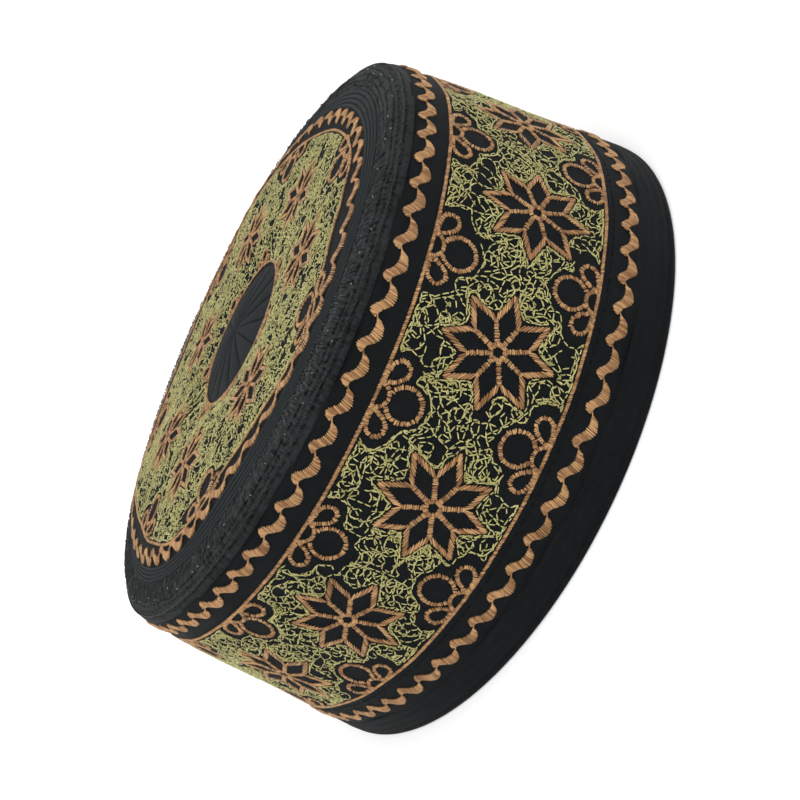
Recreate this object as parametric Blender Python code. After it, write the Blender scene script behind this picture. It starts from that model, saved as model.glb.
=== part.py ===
"""Kufi: a stiff embroidered cap that stands on its rim.

Metres, +Z up. The front of the head faces -Y and the cap is longer along Y.
The origin is on the floor, under the middle of the rim.

All four cloth pieces follow one outline, which runs from the middle of the
crown over the shoulder and down the side to the rim. A place on it is a
distance along its outer face and a depth under that face. The outline is
turned about Z, and the round cap is then drawn out to its oval.
"""
import bmesh
import bpy
from math import atan2, cos, pi, radians, sin, tan
from mathutils import Matrix

# The whole cap, over its outer faces
RIM_LENGTH = 0.1992
RIM_WIDTH = 0.1848
HEIGHT = 0.0744
SIDE_LEAN = radians(7.8)
SHOULDER_RADIUS = 0.007
CROWN_EDGE_SLOPE = radians(1.1)

# Cloth thickness, and the gap between two pieces
CROWN_WALL = 0.0024
SEAM_WALL = 0.0028
SIDE_WALL = 0.0024
HEM_WALL = 0.0030
GAP = 0.0003

# The plain disc in the middle of the crown: puffed, and drawn into pleats
DISC_RADIUS = 0.0213
DISC_PUFF = 0.0018
PLEATS = 16
PLEAT_DEPTH = 0.0004

# Quilted rows round the edge of the crown
ROWS = 6
ROW_PITCH = 0.00135
ROW_DEPTH = 0.0003

# The gathered seam over the shoulder, from the crown's edge to the side band
SEAM_INBOARD = 0.0035
SEAM_WIDTH = 0.0118
GATHER_WIDTH = 0.0058
GATHERS = 60
GATHER_DEPTH = 0.0004
SEAM_PUFF = 0.0004

# The folded hem at the rim
HEM_HEIGHT = 0.0092
FOLD_RADIUS = 0.0010

# Steps round the cap
CROWN_STEPS = 6 * PLEATS
SEAM_STEPS = 2 * GATHERS
SIDE_STEPS = 96

# Worked out from the sizes above
RIM_RADIUS = (RIM_LENGTH + RIM_WIDTH) / 4
OVAL = (RIM_LENGTH - RIM_WIDTH) / (RIM_LENGTH + RIM_WIDTH)
EDGE_OUT = SHOULDER_RADIUS * (cos(SIDE_LEAN) - sin(CROWN_EDGE_SLOPE))
EDGE_DOWN = SHOULDER_RADIUS * (cos(CROWN_EDGE_SLOPE) - sin(SIDE_LEAN))
CROWN_RADIUS = (RIM_RADIUS - EDGE_OUT - tan(SIDE_LEAN) * (HEIGHT - EDGE_DOWN)) / (
    1 - tan(SIDE_LEAN) * CROWN_EDGE_SLOPE / 2)
CROWN_DROP = CROWN_RADIUS * CROWN_EDGE_SLOPE / 2
SHOULDER_END = CROWN_RADIUS + SHOULDER_RADIUS * (pi / 2 - SIDE_LEAN - CROWN_EDGE_SLOPE)
SIDE_TOP = HEIGHT - CROWN_DROP - EDGE_DOWN
RIM = SHOULDER_END + SIDE_TOP / cos(SIDE_LEAN)
SEAM_START = CROWN_RADIUS - SEAM_INBOARD
SEAM_END = SEAM_START + SEAM_WIDTH
HEM_START = RIM - HEM_HEIGHT


def tilt(distance):
    """The angle between the outline's normal and straight up."""
    if distance < CROWN_RADIUS:
        return CROWN_EDGE_SLOPE * distance / CROWN_RADIUS
    if distance < SHOULDER_END:
        return CROWN_EDGE_SLOPE + (distance - CROWN_RADIUS) / SHOULDER_RADIUS
    return pi / 2 - SIDE_LEAN


def outline(distance, depth):
    """Radius and height of a place: a shallow dome, a round shoulder, then a straight side."""
    angle = tilt(distance)
    if distance < CROWN_RADIUS:
        radius = distance
        height = HEIGHT - CROWN_DROP * (distance / CROWN_RADIUS) ** 2
    elif distance < SHOULDER_END:
        radius = CROWN_RADIUS + SHOULDER_RADIUS * (sin(angle) - sin(CROWN_EDGE_SLOPE))
        height = HEIGHT - CROWN_DROP - SHOULDER_RADIUS * (cos(CROWN_EDGE_SLOPE) - cos(angle))
    else:
        radius = CROWN_RADIUS + EDGE_OUT + (distance - SHOULDER_END) * sin(SIDE_LEAN)
        height = SIDE_TOP - (distance - SHOULDER_END) * cos(SIDE_LEAN)
    return radius - depth * sin(angle), height - depth * cos(angle)


def spread(start, end, count):
    """Distances from start to end in equal steps, both ends with them."""
    return [start + (end - start) * k / count for k in range(count + 1)]


def cloth(name, colour):
    """Matt cloth in the colour that its thread gives it."""
    material = bpy.data.materials.new(name)
    material.use_nodes = True
    shader = material.node_tree.nodes["Principled BSDF"]
    shader.inputs["Base Color"].default_value = (*colour, 1)
    shader.inputs["Roughness"].default_value = 0.85
    shader.inputs["Metallic"].default_value = 0
    return material


def no_relief(distance, depth, turn):
    return 0


def turned_piece(name, section, steps, relief, colour):
    """Spin a section of (distance, depth) places about Z and raise each place by its relief.

    relief(distance, depth, turn) is the lift along the outline's normal at an
    angle turned about Z. A section that ends on the axis makes a disc, any
    other one a ring.
    """
    bm = bmesh.new()
    distances = bm.verts.layers.float.new("distance")
    depths = bm.verts.layers.float.new("depth")
    points = []
    for distance, depth in section:
        radius, height = outline(distance, depth)
        point = bm.verts.new((radius, 0, height))
        point[distances] = distance
        point[depths] = depth
        points.append(point)
    edges = [bm.edges.new(pair) for pair in zip(points, points[1:])]
    if section[-1][0] > 0:
        edges.append(bm.edges.new((points[-1], points[0])))
    bmesh.ops.spin(bm, geom=points + edges, cent=(0, 0, 0), axis=(0, 0, 1),
                   angle=2 * pi, steps=steps, use_merge=True)
    bmesh.ops.remove_doubles(bm, verts=bm.verts[:], dist=1e-6)
    for point in bm.verts:
        lift = relief(point[distances], point[depths], atan2(point.co.y, point.co.x))
        radius = point.co.xy.length
        if radius > 0:
            point.co.xy *= 1 + lift * sin(tilt(point[distances])) / radius
        point.co.z += lift * cos(tilt(point[distances]))
    bmesh.ops.transform(bm, matrix=Matrix.Diagonal((1 - OVAL, 1 + OVAL, 1, 1)), verts=bm.verts[:])
    bmesh.ops.recalc_face_normals(bm, faces=bm.faces[:])
    mesh = bpy.data.meshes.new(name)
    bm.to_mesh(mesh)
    bm.free()
    mesh.shade_smooth()
    mesh.set_sharp_from_angle(angle=radians(40))
    mesh.materials.append(cloth(name + "_cloth", colour))
    piece = bpy.data.objects.new(name, mesh)
    bpy.context.collection.objects.link(piece)
    return piece


def disc_relief(distance, depth, turn):
    """A cosine puff with pleats that run out from the middle, on the outer face alone."""
    if depth > 0 or distance >= DISC_RADIUS:
        return 0
    share = distance / DISC_RADIUS
    puff = DISC_PUFF * cos(pi / 2 * share) ** 2
    return puff - PLEAT_DEPTH * sin(pi * share) * (0.5 + 0.5 * cos(PLEATS * turn))


def crown_top():
    """The embroidered top: the pleated disc, the plain field round it and the quilted rows."""
    edge = SEAM_START - GAP / 2
    rows_start = edge - (ROWS + 0.5) * ROW_PITCH
    section = [(distance, 0) for distance in spread(0, DISC_RADIUS, 5)]
    section += [(distance, 0) for distance in spread(DISC_RADIUS, rows_start, 4)[1:]]
    for row in range(ROWS):
        valley = rows_start + (row + 0.5) * ROW_PITCH
        section += [(valley, ROW_DEPTH), (valley + ROW_PITCH / 2, 0)]
    section.append((edge, 0))
    section += [(distance, CROWN_WALL) for distance in spread(edge, 0, 3)]
    turned_piece("crown_top", section, CROWN_STEPS, disc_relief, (0.16, 0.14, 0.05))


def seam_relief(distance, depth, turn):
    """Gathers across the inner part, and a sunk stitch line where they end."""
    if depth > 0:
        return 0
    across = (distance - SEAM_START) / GATHER_WIDTH
    if across < 1:
        return sin(pi * across) * (SEAM_PUFF + GATHER_DEPTH * cos(GATHERS * turn))
    outer = (distance - SEAM_START - GATHER_WIDTH) / (SEAM_WIDTH - GATHER_WIDTH)
    return SEAM_PUFF * sin(pi * min(1, outer))


def crown_seam():
    """The gathered binding that joins the crown to the side, bent over the shoulder."""
    start = SEAM_START + GAP / 2
    end = SEAM_END - GAP / 2
    stitch_line = SEAM_START + GATHER_WIDTH
    section = [(distance, 0) for distance in spread(start, stitch_line, 4)]
    section += [(distance, 0) for distance in spread(stitch_line, end, 4)[1:]]
    section += [(distance, SEAM_WALL) for distance in spread(end, start, 5)]
    turned_piece("crown_seam", section, SEAM_STEPS, seam_relief, (0.012, 0.013, 0.016))


def side_band():
    """The embroidered side, a strip closed to a ring that leans out towards the rim."""
    start = SEAM_END + GAP / 2
    end = HEM_START - GAP / 2
    section = [(distance, 0) for distance in [start, *spread(SHOULDER_END, end, 3)]]
    section += [(distance, SIDE_WALL) for distance in [*spread(end, SHOULDER_END, 2), start]]
    turned_piece("side_band", section, SIDE_STEPS, no_relief, (0.16, 0.13, 0.05))


def rim_hem():
    """The doubled hem, whose two folds leave a flat ring on the floor."""
    top = HEM_START + GAP / 2
    fold = []
    for angle in (0, pi / 4, pi / 2):
        depth = FOLD_RADIUS * (1 - cos(angle))
        floor = RIM - depth * tan(SIDE_LEAN)
        fold.append((floor - FOLD_RADIUS * (1 - sin(angle)), depth))
    section = [(top, 0), *fold]
    for distance, depth in reversed(fold):
        inside = HEM_WALL - depth
        section.append((distance - (inside - depth) * tan(SIDE_LEAN), inside))
    section.append((top, HEM_WALL))
    turned_piece("rim_hem", section, SIDE_STEPS, no_relief, (0.012, 0.013, 0.016))


for old in list(bpy.data.objects):
    bpy.data.objects.remove(old)
crown_top()
crown_seam()
side_band()
rim_hem()
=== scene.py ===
"""The looks of a stiff embroidered kufi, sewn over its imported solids.

Metres, +Z up, the front of the head towards -Y. A place on the cap is a
distance along its outline, from the middle of the crown over the shoulder and
down the side to the rim, and a turn about Z. The round cap is then drawn out
to its oval. Every cloth and every stitch is worked out from those two.
"""
from math import cos, pi, radians, sin, tan

import bpy
import numpy as np
from mathutils import Matrix, Vector


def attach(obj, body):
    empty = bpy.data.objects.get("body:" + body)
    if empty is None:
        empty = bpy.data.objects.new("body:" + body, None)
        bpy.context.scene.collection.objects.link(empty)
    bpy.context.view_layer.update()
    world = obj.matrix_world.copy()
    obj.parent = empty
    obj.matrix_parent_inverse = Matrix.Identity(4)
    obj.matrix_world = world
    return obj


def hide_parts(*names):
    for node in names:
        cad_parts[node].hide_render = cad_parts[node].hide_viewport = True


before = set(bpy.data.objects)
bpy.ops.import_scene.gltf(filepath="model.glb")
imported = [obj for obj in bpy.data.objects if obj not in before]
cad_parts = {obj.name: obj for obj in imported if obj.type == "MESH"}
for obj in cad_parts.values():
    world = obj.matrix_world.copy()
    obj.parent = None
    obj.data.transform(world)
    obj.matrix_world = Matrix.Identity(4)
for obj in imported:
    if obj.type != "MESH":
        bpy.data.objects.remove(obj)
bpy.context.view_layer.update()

MM = 0.001

# The cap's outline, as in its solids
RIM_LENGTH = 0.1992
RIM_WIDTH = 0.1848
HEIGHT = 0.0744
SIDE_LEAN = radians(7.8)
SHOULDER_RADIUS = 0.007
CROWN_EDGE_SLOPE = radians(1.1)
RIM_RADIUS = (RIM_LENGTH + RIM_WIDTH) / 4
OVAL = (RIM_LENGTH - RIM_WIDTH) / (RIM_LENGTH + RIM_WIDTH)
EDGE_OUT = SHOULDER_RADIUS * (cos(SIDE_LEAN) - sin(CROWN_EDGE_SLOPE))
EDGE_DOWN = SHOULDER_RADIUS * (cos(CROWN_EDGE_SLOPE) - sin(SIDE_LEAN))
CROWN_RADIUS = (RIM_RADIUS - EDGE_OUT - tan(SIDE_LEAN) * (HEIGHT - EDGE_DOWN)) / (
    1 - tan(SIDE_LEAN) * CROWN_EDGE_SLOPE / 2)
CROWN_DROP = CROWN_RADIUS * CROWN_EDGE_SLOPE / 2
SHOULDER_END = CROWN_RADIUS + SHOULDER_RADIUS * (pi / 2 - SIDE_LEAN - CROWN_EDGE_SLOPE)
SIDE_TOP = HEIGHT - CROWN_DROP - EDGE_DOWN
RIM = SHOULDER_END + SIDE_TOP / cos(SIDE_LEAN)

# The plain disc in the crown's middle, with its copper ring, and the crown's sag round it
DISC_RADIUS = 21.3 * MM
DISC_PUFF = 1.9 * MM
DISC_DIMPLE = 0.4 * MM
DISC_SAG = 1.1 * MM
SAG_WIDTH = 14 * MM
DISC_RING = 0.6 * MM
PLEATS = 16
PLEAT_DEPTH = 0.7 * MM

# The crown's field and the quilted rows round it
FIELD_RISE = 0.7 * MM
RISE_WIDTH = 20 * MM
CROWN_SWELL = 0.22 * MM
QUILT_ROWS = 4
QUILT_START = 2.7 * MM
QUILT_RISE = 0.45 * MM

# The seam: its gathers, stitched grooves all round it, and more of them towards +X
SEAM_START = CROWN_RADIUS - 3.5 * MM
GATHER_END = SEAM_START + 6.4 * MM
SEAM_END = SEAM_START + 11.8 * MM
SEAM_ROWS = (83.0 * MM, 84.5 * MM, 86.3 * MM)
QUILTED_SEAM = (77.6 * MM, 79.2 * MM, 80.9 * MM)

# The side and the hem, and the cloths' thickness
BAND_SWELL = 0.12 * MM
HEM_START = RIM - 9.2 * MM
HEM_ROWS = (148.9 * MM, 151.2 * MM, 153.6 * MM, 156.1 * MM)
FOLD_RADIUS = 1.0 * MM
CLOTH_WALL = 2.4 * MM
SEAM_WALL = 2.8 * MM
HEM_WALL = 3.0 * MM

# Borders and ornaments of the side, along the outline
UPPER_WAVE = 91.35 * MM
UPPER_LINE = 97.6 * MM
STAR_ROW = 119.5 * MM
STAR_DROP = 1.2 * MM
LOWER_LINE = 138.8 * MM
LOWER_WAVE = 145.0 * MM
BLACK_LINE = 140.9 * MM
STARS = 15
STAR_TURN = radians(0.3)
UPPER_WAVES = 66
LOWER_WAVES = 71
STAR_TIP = 13.2 * MM
NOTCH_SHARE = 0.576
STAR_PETALS = 8
UPPER_SHIFT = -0.4 * MM
LOWER_SHIFT = 0.9 * MM

# Ornaments of the crown, by true radius and angle
TOP_STARS = 7
TOP_STAR_RADIUS = 41.7 * MM
TOP_STAR_ANGLE = radians(-19.6)
TOP_STAR_TIP = 11.0 * MM
TOP_FLOWERS = tuple(radians(angle) for angle in (6.1, 57.5, 109.0, 165.0, -148.2, -96.8, -50.0))
TOP_WAVES = 51

# Round the crown nothing is a true circle. At turns in degrees: the distances of its copper line
# and of its waves, and its rise, all in mm
CROWN_LINE = (
    (-166, 68.4), (-153, 66.8), (-139, 62.6), (-124, 62.8), (-111, 66.0), (-102, 68.4), (-90, 62.6),
    (-77, 60.7), (-66, 62.2), (-53, 65.0), (-28, 63.4), (-5, 63.2), (20, 64.2), (58, 63.6),
    (101, 62.6), (132, 66.6), (146, 64.0), (160, 63.2), (177, 65.6))
TOP_RISE = (
    (-122, 0.3), (-70, 0.0), (-20, 0.0), (6, 1.5), (32, 2.1), (57, 1.1), (83, 0.7), (110, 1.6), (135, 2.7),
    (160, 2.2), (186, 2.3), (212, 1.2))
TOP_WAVE_LINE = (
    (-130, 67.2), (-100, 68.8), (-60, 68.4), (-30, 67.6), (20, 69.2), (90, 68.6), (150, 69.0),
    (190, 69.8))

# Threads: how wide one is, how high it arches, and how far it lies above its cloth
STAR_THREAD = (0.52 * MM, 0.4 * MM, 0.1 * MM)
FLOWER_THREAD = (0.53 * MM, 0.36 * MM, 0.1 * MM)
LINE_THREAD = (0.55 * MM, 0.34 * MM, 0.08 * MM)
TOP_THREAD = (0.52 * MM, 0.4 * MM, 0.12 * MM)
HEM_THREAD = (0.32 * MM, 0.24 * MM, 0.02 * MM)
QUILT_THREAD = (0.3 * MM, 0.22 * MM, 0)
PLEAT_THREAD = (0.26 * MM, 0.18 * MM, 0)
OVERLOCK_THREAD = (0.4 * MM, 0.34 * MM, 0.12 * MM)
BEAD_THREAD = (0.5 * MM, 0.45 * MM, 0.12 * MM)
KNOT_THREAD = (0.34 * MM, 0.34 * MM, 0.22 * MM)
THREAD_SINK = 0.1 * MM

rng = np.random.default_rng(27)


# Arrays of numbers


def side_by_side(*values):
    """Arrays joined along a new last axis."""
    return np.stack(np.broadcast_arrays(*values), -1)


def between(start, end):
    """Stitches, or their places, from start to end."""
    return np.stack([start, end], axis=1)


def unit(way):
    """The same way with a length of 1."""
    return way / np.linalg.norm(way, axis=-1, keepdims=True)


def turns(count):
    """Equal turns round the whole cap."""
    return 2 * pi * np.arange(count) / count


# Places on the cap


def outline(distance):
    """Radius, height and normal angle of the outer face: a dome, a round shoulder, a straight side."""
    distance = np.asarray(distance, float)
    on_crown = distance < CROWN_RADIUS
    on_side = distance >= SHOULDER_END
    bend = CROWN_EDGE_SLOPE + (distance - CROWN_RADIUS) / SHOULDER_RADIUS
    angle = np.where(on_side, pi / 2 - SIDE_LEAN, np.where(
        on_crown, CROWN_EDGE_SLOPE * distance / CROWN_RADIUS, bend))
    down = distance - SHOULDER_END
    radius = np.where(on_side, CROWN_RADIUS + EDGE_OUT + down * sin(SIDE_LEAN), np.where(
        on_crown, distance, CROWN_RADIUS + SHOULDER_RADIUS * (np.sin(angle) - sin(CROWN_EDGE_SLOPE))))
    height = np.where(on_side, SIDE_TOP - down * cos(SIDE_LEAN), np.where(
        on_crown, HEIGHT - CROWN_DROP * (distance / CROWN_RADIUS) ** 2,
        HEIGHT - CROWN_DROP - SHOULDER_RADIUS * (cos(CROWN_EDGE_SLOPE) - np.cos(angle))))
    return radius, height, angle


def place(distance, turn, lift=0):
    """Lift a place along the outline's normal, turn it about Z, then draw it out to the oval."""
    radius, height, angle = outline(distance)
    radius = radius + lift * np.sin(angle)
    height = height + lift * np.cos(angle)
    return side_by_side((1 - OVAL) * radius * np.cos(turn), (1 + OVAL) * radius * np.sin(turn), height)


def normal(distance, turn):
    """The outward normal: the outline's own, divided by the oval's draw along each axis."""
    angle = outline(distance)[2]
    across = np.sin(angle)
    return unit(side_by_side(
        across * np.cos(turn) / (1 - OVAL), across * np.sin(turn) / (1 + OVAL), np.cos(angle)))


def even(turn):
    """The turn that lies at an even share of the oval's edge: the turn less half the oval's second wave."""
    return turn - OVAL / 2 * np.sin(2 * turn)


def joined(table, turn):
    """Distance at a turn, from a table of turns and distances that is joined by cosine steps."""
    stops = np.radians([row[0] for row in table])
    stops = np.append(stops, stops[0] + 2 * pi)
    distances = np.array([row[1] * MM for row in table + table[:1]])
    turn = (np.asarray(turn) - stops[0]) % (2 * pi) + stops[0]
    step = np.clip(np.searchsorted(stops, turn, side="right") - 1, 0, len(stops) - 2)
    share = (turn - stops[step]) / (stops[step + 1] - stops[step])
    share = 0.35 * share + 0.65 * (0.5 - 0.5 * np.cos(pi * share))
    return distances[step] * (1 - share) + distances[step + 1] * share


def crown_line(turn):
    """Distance of the crown's copper line."""
    return joined(CROWN_LINE, turn)


def wave_line(turn):
    """Distance of the crown's waves."""
    return joined(TOP_WAVE_LINE, turn)


def quilt_line(turn, row):
    """Distance of a quilted row's inner edge; row 0 is the innermost."""
    share = row / QUILT_ROWS
    return (wave_line(turn) + QUILT_START) * (1 - share) + SEAM_START * share


def ripple(count, low, high, seed):
    """A seamless row of random heights about 0 with only low to high waves in it."""
    waves = np.fft.rfft(np.random.default_rng(seed).normal(size=count))
    number = np.arange(len(waves))
    row = np.fft.irfft(np.where((number >= low) & (number <= high), waves, 0), count)
    return row / row.std()


# Relief of the cloth, along the outline's normal


def swell(distance, turn):
    """Slow unevenness of the crown: three crossing sine waves that fade out at its edge."""
    x = distance * np.cos(turn)
    y = distance * np.sin(turn)
    waves = np.sin(x / 0.013 + 1) * np.sin(y / 0.017) + np.sin((x + y) / 0.021 + 2)
    return CROWN_SWELL * waves * np.clip((CROWN_RADIUS - distance) / 0.03, 0, 1)


def dome(distance, turn):
    """The crown's rise inside its quilted rows: an even one, and a table's that grows outwards.

    The crown sags under the disc and, by a cosine step, round it.
    """
    inner = np.clip((SEAM_START - distance) / (10 * MM), 0, 1)
    inner = inner ** 2 * (3 - 2 * inner)
    grown = np.clip((distance - DISC_RADIUS) / RISE_WIDTH, 0, 1)
    sag = DISC_SAG * (0.5 + 0.5 * np.cos(pi * np.clip((distance - DISC_RADIUS) / SAG_WIDTH, 0, 1)))
    return inner * (FIELD_RISE + joined(TOP_RISE, turn) * grown) - sag


def ridges(distance, turn):
    """Height from 0 to 1 of the ridges between the quilted rows: a half sine for each row, flattened."""
    line = quilt_line(turn, 0)
    row = (distance - line) / (SEAM_START - line) * QUILT_ROWS
    return np.abs(np.sin(pi * np.clip(row, 0, QUILT_ROWS))) ** 0.6


def crown_lift(distance, turn):
    """The dome, the padded disc with its pleats, the slow swell, and ridges between the quilted rows.

    The disc rises from its edge by a power of 1.6, and is drawn in at its middle.
    """
    share = np.clip(distance / DISC_RADIUS, 0, 1)
    groove = np.abs(np.sin(PLEATS / 2 * turn)) ** 0.5 - 0.6
    lift = DISC_PUFF * (1 - share ** 1.6) - DISC_DIMPLE * np.exp(-(share / 0.2) ** 2)
    lift = lift + PLEAT_DEPTH * groove * np.sin(pi * share) ** 0.6
    return lift + dome(distance, turn) + swell(distance, turn) + QUILT_RISE * ridges(distance, turn)


def band_lift(distance, turn):
    """Slow unevenness of the side: two crossing sine waves."""
    return BAND_SWELL * (np.sin(9 * turn + distance / 0.006) + np.sin(23 * turn - distance / 0.009))


def hem_lift(distance):
    """Ridges of cloth that sink to a groove along each row of stitches."""
    gap = np.min(np.abs(np.asarray(distance)[..., None] - np.array(HEM_ROWS)), axis=-1)
    return 0.28 * MM * np.clip(gap / (1.1 * MM), 0, 1) ** 0.6 - 0.18 * MM


# Meshes


def mesh_piece(name, points, quads, triangles, look, attributes=None, uv=None):
    """One smooth mesh at the origin, with its material, riding on the cap."""
    mesh = bpy.data.meshes.new(name)
    quads = np.asarray(quads, int).reshape(-1, 4)
    triangles = np.asarray(triangles, int).reshape(-1, 3)
    corners = np.concatenate([quads.ravel(), triangles.ravel()])
    starts = np.concatenate([np.arange(len(quads)) * 4, 4 * len(quads) + np.arange(len(triangles)) * 3])
    mesh.vertices.add(len(points))
    mesh.vertices.foreach_set("co", np.asarray(points, np.float32).ravel())
    mesh.loops.add(len(corners))
    mesh.loops.foreach_set("vertex_index", corners.astype(np.int32))
    mesh.polygons.add(len(starts))
    mesh.polygons.foreach_set("loop_start", starts.astype(np.int32))
    mesh.update(calc_edges=True)
    mesh.polygons.foreach_set("use_smooth", np.ones(len(starts), bool))
    for key, values in (attributes or {}).items():
        layer = mesh.attributes.new(key, "FLOAT", "POINT")
        layer.data.foreach_set("value", np.asarray(values, np.float32).ravel())
    if uv is not None:
        layer = mesh.uv_layers.new(name="weave")
        layer.data.foreach_set("uv", np.asarray(uv, np.float32).ravel())
    mesh.materials.append(look)
    mesh.update()
    piece = bpy.data.objects.new(name, mesh)
    bpy.context.collection.objects.link(piece)
    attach(piece, "root")
    return piece


def ring_cloth(name, distance, lift, look, tone_and_painted_light=0, gather=0):
    """A closed ring of cloth: rows of distance and lift run round its section, columns round the cap.

    The last row meets the first one and the last column the first column.
    The paleness given at each point holds painted highlights on the cloth's ridges and painted shade in its
    grooves, and gather says how strongly its folds are streaked, in relief and in painted light and shade.
    """
    rows, columns = distance.shape
    points = place(distance, even(turns(columns)), lift).reshape(-1, 3)
    row, column = np.meshgrid(np.arange(rows), np.arange(columns), indexing="ij")
    below = (row + 1) % rows
    beside = (column + 1) % columns
    quads = side_by_side(row * columns + column, below * columns + column,
                         below * columns + beside, row * columns + beside)
    across = side_by_side(column, column, column + 1, column + 1) * 2 * pi * RIM_RADIUS / columns
    uv = side_by_side(across, distance.ravel()[quads])
    shades = {"tone_and_painted_light": np.broadcast_to(tone_and_painted_light, distance.shape),
              "gather": np.broadcast_to(gather, distance.shape)}
    return mesh_piece(name, points, quads, [], look, shades, uv)


def disc_faces(rings, columns):
    """Triangles from point 0 to the first ring of points, and quads from each ring to the next."""
    column = np.arange(columns)
    beside = (column + 1) % columns
    fan = side_by_side(0, 1 + column, 1 + beside)
    first = 1 + columns * np.arange(rings - 1)[:, None]
    after = first + columns
    quads = side_by_side(first + column, after + column, after + beside, first + beside)
    return fan, quads.reshape(-1, 4)


def round_cloth(name, distance, lift, look, tone_and_painted_light):
    """A closed round of cloth: the first and last rows lie on the axis and become one point each."""
    rows, columns = distance.shape
    points = place(distance, turns(columns), lift)
    points = np.concatenate([points[0, :1], points[1:-1].reshape(-1, 3), points[-1, :1]])
    fan, quads = disc_faces(rows - 2, columns)
    last = fan[:, 1:] + (rows - 3) * columns
    caps = np.concatenate([fan, side_by_side(last[:, 0], len(points) - 1, last[:, 1])])
    corners = np.concatenate([quads.ravel(), caps.ravel()])
    tone_and_painted_light = np.concatenate([tone_and_painted_light[0, :1], tone_and_painted_light[1:-1].ravel(), tone_and_painted_light[-1, :1]])
    return mesh_piece(name, points, quads, caps, look, {"tone_and_painted_light": tone_and_painted_light}, points[corners][:, :2])


# Stitches: each is a lens-shaped thread between two ends


def on_band(flat):
    """Places and normals of (turn, distance) pairs on the side, lifted with its cloth."""
    turn = even(flat[..., 0])
    distance = flat[..., 1]
    lift = np.where(distance > HEM_START, hem_lift(distance), band_lift(distance, turn))
    return place(distance, turn, lift), normal(distance, turn)


def on_top(flat):
    """Places and normals of true (x, y) pairs on the crown, lifted with its cloth."""
    x = flat[..., 0] / (1 - OVAL)
    y = flat[..., 1] / (1 + OVAL)
    distance = np.hypot(x, y)
    turn = np.arctan2(y, x)
    return place(distance, turn, crown_lift(distance, turn)), normal(distance, turn)


def threads(places, normals, width, rise, raised, rings):
    """A lens-shaped thread between each pair of ends: a point, some four-sided rings, a point.

    Its middle line is the straight line between its ends plus an arch along
    the normal. A ring is an ellipse about that line, width across and rise
    high, and gets narrower towards both ends. Returns points as an array of
    threads by points by 3, and how far along and round its thread each lies.
    """
    start = places[:, 0]
    run = places[:, 1] - start
    length = np.linalg.norm(run, axis=-1, keepdims=True)
    along = run / length
    up = normals.mean(axis=1)
    up = unit(up - along * np.sum(up * along, axis=-1, keepdims=True))
    side = np.cross(up, along)
    width = np.broadcast_to(width, len(run))[:, None, None]
    rise = np.broadcast_to(rise, len(run))[:, None, None]
    raised = np.broadcast_to(raised, len(run))[:, None, None]
    share = np.linspace(0, 1, rings + 2)[1:-1]
    share = 0.5 + (share - 0.5) * (1.52 if rings > 2 else 1.7)
    swelling = np.sin(pi * share) ** 0.35
    angle = pi / 2 * np.arange(4)
    middle = start[:, None] + run[:, None] * share[:, None]
    height = rise * (swelling - 0.55)[:, None] + raised
    half_width = (width * swelling[:, None] / 2)[:, :, None]
    half_rise = (rise * swelling[:, None] / 2)[:, :, None]
    across = np.cos(angle)[None, None, :, None] * side[:, None, None] * half_width
    over = np.sin(angle)[None, None, :, None] * up[:, None, None] * half_rise
    ring = (middle + height * up[:, None])[:, :, None] + across + over
    ends = places - normals * THREAD_SINK
    points = np.concatenate([ends[:, :1], ring.reshape(len(run), -1, 3), ends[:, 1:]], axis=1)
    steps = np.concatenate([[0], np.repeat(share, 4), [1]])
    around = np.concatenate([[0.25], np.tile(np.arange(4) / 4, rings), [0.25]])
    return points, steps * length, np.broadcast_to(around, points.shape[:2])


def thread_faces(count, rings):
    """Quads between a thread's rings and triangles to its two points, for count threads."""
    corner = np.arange(4)
    following = (corner + 1) % 4
    quads = []
    for ring in range(rings - 1):
        base = 1 + 4 * ring
        after = base + 4
        quads.append(side_by_side(base + corner, base + following, after + following, after + corner))
    last = 1 + 4 * (rings - 1)
    triangles = np.concatenate([
        side_by_side(0, 1 + following, 1 + corner),
        side_by_side(last + 4, last + corner, last + following)])
    size = 4 * rings + 2
    shift = np.arange(count)[:, None, None] * size
    return (np.concatenate(quads) + shift).reshape(-1, 4), (triangles + shift).reshape(-1, 3)


def sew(name, parts, look, rings, tones=None):
    """Join sets of threads into one piece. A set is its places, normals, width, rise and raised.

    Each thread's tone is a random one from 0 to 1, or its own one of tones,
    and gets paler towards both ends as a painted highlight on the stitch's tips.
    """
    points, along, around, tone = [], [], [], []
    for part in parts:
        thread, steps, way_round = threads(*part, rings)
        points.append(thread)
        along.append(steps)
        around.append(way_round)
        tone.append(rng.random(len(thread)))
    points = np.concatenate(points)
    along = np.concatenate(along)
    tone = (np.concatenate(tone) if tones is None else tones)[:, None]
    # Paler towards both ends: a painted highlight on each stitch's tips
    tone = tone + 0.8 * np.abs(2 * along / along[:, -1:] - 1) ** 3 - 0.2
    quads, triangles = thread_faces(len(points), rings)
    attributes = {"along": along, "around": np.concatenate(around), "tone": tone}
    return mesh_piece(name, points.reshape(-1, 3), quads, triangles, look, attributes)


def run_of(path):
    """How far along a path each of its points lies."""
    return np.concatenate([[0], np.cumsum(np.linalg.norm(np.diff(path, axis=0), axis=-1))])


def on_path(stops, run, path):
    """Places on a path, each so far along it."""
    return side_by_side(np.interp(stops, run, path[:, 0]), np.interp(stops, run, path[:, 1]))


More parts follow.
